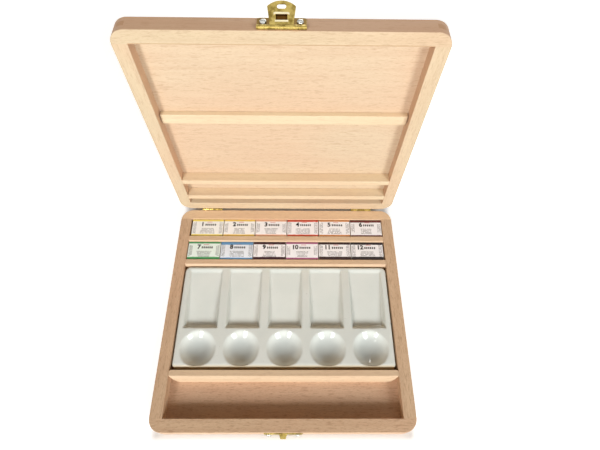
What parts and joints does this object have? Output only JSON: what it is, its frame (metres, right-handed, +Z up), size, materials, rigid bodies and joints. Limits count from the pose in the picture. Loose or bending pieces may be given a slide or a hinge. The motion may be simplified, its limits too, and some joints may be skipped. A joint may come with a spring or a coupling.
{
  "type": "watercolour paint box",
  "caption": "Shallow wooden paint box with a hinged lid, rows of wrapped watercolour pans, a porcelain mixing palette with wells, a brush compartment and a brass snap latch.",
  "frame": {"origin": "centre of the base's underside", "axes": "+Z up from the table, -Y towards the user at the latch side, +X to the user's right"},
  "size_m": [0.21, 0.2212, 0.2287],
  "materials": {
    "rail_wood": "satin lacquered beech",
    "base_panel_wood": "satin lacquered plywood",
    "bar_wood": "satin lacquered beech",
    "lid_rail_wood": "satin lacquered beech",
    "lid_panel_wood": "satin lacquered plywood",
    "porcelain": "white glaze",
    "hinge_brass": "brass plated",
    "latch_brass": "brass plated",
    "screw_steel": "zinc plated",
    "tub_plastic": "moulded",
    "label_lemon": "printed paper",
    "label_golden_yellow": "printed paper",
    "label_salmon": "printed paper",
    "label_vermilion": "printed paper",
    "label_ochre": "printed paper",
    "label_red_brown": "printed paper",
    "label_green": "printed paper",
    "label_blue": "printed paper",
    "label_maroon": "printed paper",
    "label_mauve": "printed paper",
    "label_umber": "printed paper",
    "label_black": "printed paper"
  },
  "bodies": {
    "base": {"base_front_rail": "rail_wood", "base_back_rail": "rail_wood", "base_left_rail": "rail_wood", "base_right_rail": "rail_wood", "base_bottom_panel": "base_panel_wood", "palette_front_bar": "bar_wood", "front_pan_bar": "bar_wood", "back_pan_bar": "bar_wood", "left_hinge_base_leaf": "hinge_brass", "left_hinge_pin": "hinge_brass", "right_hinge_base_leaf": "hinge_brass", "right_hinge_pin": "hinge_brass", "base_hinge_screws": "hinge_brass", "catch_plate": "latch_brass", "catch_plate_screws": "screw_steel"},
    "lid": {"lid_front_rail": "lid_rail_wood", "lid_back_rail": "lid_rail_wood", "lid_left_rail": "lid_rail_wood", "lid_right_rail": "lid_rail_wood", "lid_panel": "lid_panel_wood", "lid_back_pan_strip": "bar_wood", "lid_front_pan_strip": "bar_wood", "lid_middle_batten": "bar_wood", "left_hinge_lid_leaf": "hinge_brass", "right_hinge_lid_leaf": "hinge_brass", "lid_hinge_screws": "hinge_brass", "latch_plate": "latch_brass", "latch_plate_screws": "screw_steel", "latch_pin": "latch_brass"},
    "flap": {"latch_flap": "latch_brass"},
    "mixing_palette": {"palette": "porcelain"},
    "back_pan_1": {"back_pan_1_wrapper": "label_lemon", "back_pan_1_tub": "tub_plastic"},
    "back_pan_2": {"back_pan_2_wrapper": "label_golden_yellow", "back_pan_2_tub": "tub_plastic"},
    "back_pan_3": {"back_pan_3_wrapper": "label_salmon", "back_pan_3_tub": "tub_plastic"},
    "back_pan_4": {"back_pan_4_wrapper": "label_vermilion", "back_pan_4_tub": "tub_plastic"},
    "back_pan_5": {"back_pan_5_wrapper": "label_ochre", "back_pan_5_tub": "tub_plastic"},
    "back_pan_6": {"back_pan_6_wrapper": "label_red_brown", "back_pan_6_tub": "tub_plastic"},
    "front_pan_1": {"front_pan_1_wrapper": "label_green", "front_pan_1_tub": "tub_plastic"},
    "front_pan_2": {"front_pan_2_wrapper": "label_blue", "front_pan_2_tub": "tub_plastic"},
    "front_pan_3": {"front_pan_3_wrapper": "label_maroon", "front_pan_3_tub": "tub_plastic"},
    "front_pan_4": {"front_pan_4_wrapper": "label_mauve", "front_pan_4_tub": "tub_plastic"},
    "front_pan_5": {"front_pan_5_wrapper": "label_umber", "front_pan_5_tub": "tub_plastic"},
    "front_pan_6": {"front_pan_6_wrapper": "label_black", "front_pan_6_tub": "tub_plastic"}
  },
  "joints": [
    {"name": "lid_hinge", "type": "hinge", "parent": "base", "child": "lid", "pos_m": [0, 0.1027, 0.01415], "axis": [-1, 0, 0], "range_deg": [-88.7, 0]},
    {"name": "latch_hinge", "type": "hinge", "parent": "lid", "child": "flap", "pos_m": [0, 0.09958, 0.21988], "axis": [-1, 0, 0], "range_deg": [-144, 0]},
    {"name": "palette_lift", "type": "slide", "parent": "base", "child": "mixing_palette", "axis": [0, 0, 1], "range_m": [0, 0.025]},
    {"name": "back_pan_1_lift", "type": "slide", "parent": "base", "child": "back_pan_1", "axis": [0, 0, 1], "range_m": [0, 0.025]},
    {"name": "back_pan_2_lift", "type": "slide", "parent": "base", "child": "back_pan_2", "axis": [0, 0, 1], "range_m": [0, 0.025]},
    {"name": "back_pan_3_lift", "type": "slide", "parent": "base", "child": "back_pan_3", "axis": [0, 0, 1], "range_m": [0, 0.025]},
    {"name": "back_pan_4_lift", "type": "slide", "parent": "base", "child": "back_pan_4", "axis": [0, 0, 1], "range_m": [0, 0.025]},
    {"name": "back_pan_5_lift", "type": "slide", "parent": "base", "child": "back_pan_5", "axis": [0, 0, 1], "range_m": [0, 0.025]},
    {"name": "back_pan_6_lift", "type": "slide", "parent": "base", "child": "back_pan_6", "axis": [0, 0, 1], "range_m": [0, 0.025]},
    {"name": "front_pan_1_lift", "type": "slide", "parent": "base", "child": "front_pan_1", "axis": [0, 0, 1], "range_m": [0, 0.025]},
    {"name": "front_pan_2_lift", "type": "slide", "parent": "base", "child": "front_pan_2", "axis": [0, 0, 1], "range_m": [0, 0.025]},
    {"name": "front_pan_3_lift", "type": "slide", "parent": "base", "child": "front_pan_3", "axis": [0, 0, 1], "range_m": [0, 0.025]},
    {"name": "front_pan_4_lift", "type": "slide", "parent": "base", "child": "front_pan_4", "axis": [0, 0, 1], "range_m": [0, 0.025]},
    {"name": "front_pan_5_lift", "type": "slide", "parent": "base", "child": "front_pan_5", "axis": [0, 0, 1], "range_m": [0, 0.025]},
    {"name": "front_pan_6_lift", "type": "slide", "parent": "base", "child": "front_pan_6", "axis": [0, 0, 1], "range_m": [0, 0.025]}
  ]
}
